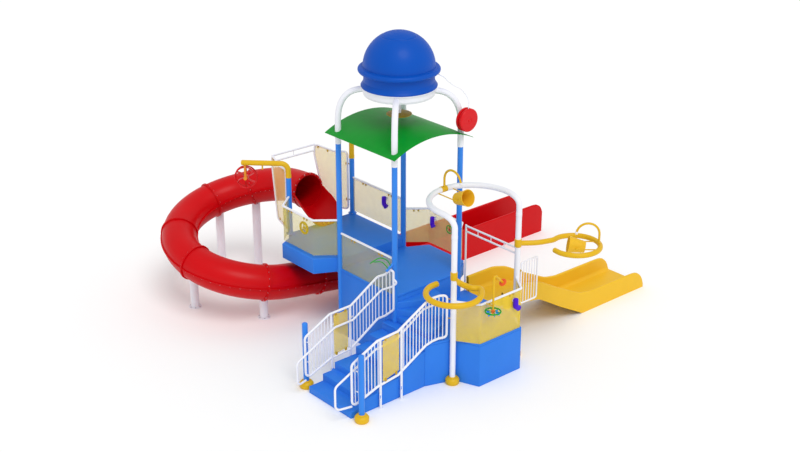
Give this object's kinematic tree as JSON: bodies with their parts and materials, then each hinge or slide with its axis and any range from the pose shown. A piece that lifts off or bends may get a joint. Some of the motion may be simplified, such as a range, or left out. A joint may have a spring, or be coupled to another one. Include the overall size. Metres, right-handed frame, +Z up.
{
  "type": "water play structure",
  "caption": "Stepped water play structure with roofed decks, spiral tube slide, open slide, tipping dome on a frame, tipping buckets and water wheels.",
  "frame": {"origin": "on the ground under the front post of the roofed deck, at its foot's middle", "axes": "+X runs along the stairs and both slide run-outs, away from the stair foot; +Y runs from the low platform to the tube slide; +Z is up"},
  "size_m": [10.1075, 9.5125, 7],
  "materials": {
    "blue_shell": "glossy gel-coated glass fibre, deep blue",
    "white_tube": "smooth white powder coat",
    "yellow_tube": "smooth golden yellow powder coat",
    "blue_tube": "smooth blue powder coat",
    "yellow_shell": "glossy golden yellow glass fibre",
    "red_shell": "glossy red glass fibre",
    "yellow_sheet": "translucent pale yellow sheet",
    "green_roof": "translucent green sheet",
    "green_plastic": "glossy green",
    "purple_plastic": "glossy violet"
  },
  "bodies": {
    "root": {"post_front": "blue_tube", "post_right": "blue_tube", "post_left": "blue_tube", "post_back": "blue_tube", "post_far": "blue_tube", "arm_post": "yellow_tube", "main_deck": "blue_shell", "far_deck": "blue_shell", "low_deck": "blue_shell", "left_skirt": "blue_shell", "right_skirt": "blue_shell", "riser_wall": "blue_shell", "platform_skirt": "blue_shell", "lower_flight": "blue_shell", "upper_flight": "blue_shell", "winder_steps": "blue_shell", "stair_post_near": "blue_tube", "stair_post_far": "blue_tube", "near_railing": "white_tube", "far_railing": "white_tube", "right_bay_guard": "yellow_sheet", "left_bay_guard": "yellow_sheet", "left_guard": "yellow_sheet", "far_side_guard": "yellow_sheet", "platform_guard": "yellow_sheet", "roof_sheet": "green_roof", "dome_frame": "white_tube", "dome_bowl": "blue_shell", "dome_cap": "blue_shell", "spray_disc": "yellow_tube", "bell": "red_shell", "bell_pipe": "white_tube", "hoop": "white_tube", "hoop_fork": "yellow_tube", "ring_right": "yellow_tube", "ring_left": "yellow_tube", "tube_slide_upper": "red_shell", "tube_slide_middle": "red_shell", "tube_slide_lower": "red_shell", "tube_entry": "red_shell", "run_out": "red_shell", "column_1": "white_tube", "column_2": "white_tube", "column_3": "white_tube", "column_4": "white_tube", "open_slide": "yellow_shell", "entry_guard_left": "yellow_sheet", "entry_guard_right": "yellow_sheet", "entry_header": "white_tube", "slide_header": "white_tube", "slide_panel": "white_tube", "spinner_pipe": "yellow_tube", "platform_spout": "purple_plastic", "bay_spout": "purple_plastic", "far_spout": "purple_plastic"},
    "hoop_bucket": {"hoop_bucket": "yellow_shell"},
    "ring_bucket": {"ring_bucket": "yellow_shell"},
    "water_wheel": {"water_wheel": "red_shell"},
    "spinner": {"spinner_wheel": "green_plastic"},
    "hand_wheel": {"hand_wheel": "green_plastic"}
  },
  "joints": [
    {"name": "hoop_bucket_tip", "type": "hinge", "parent": "root", "child": "hoop_bucket", "pos_m": [1.25, -0.72, 3.715], "axis": [1, 0, 0], "range_deg": [-30, 60]},
    {"name": "ring_bucket_tip", "type": "hinge", "parent": "root", "child": "ring_bucket", "pos_m": [3.04, -2.28, 2.65], "axis": [-0.6769, -0.7361, 0], "range_deg": [-30, 60]},
    {"name": "water_wheel_spin", "type": "hinge", "parent": "root", "child": "water_wheel", "pos_m": [-0.63286, 4.41307, 3.155], "axis": [0.7071, 0.7071, 0], "continuous": true},
    {"name": "spinner_spin", "type": "hinge", "parent": "root", "child": "spinner", "pos_m": [0.8, -2.135, 1.79], "axis": [0, 0, 1], "continuous": true},
    {"name": "hand_wheel_turn", "type": "hinge", "parent": "root", "child": "hand_wheel", "pos_m": [2.23, 0.73, 2.25], "axis": [1, 0, 0], "continuous": true}
  ]
}
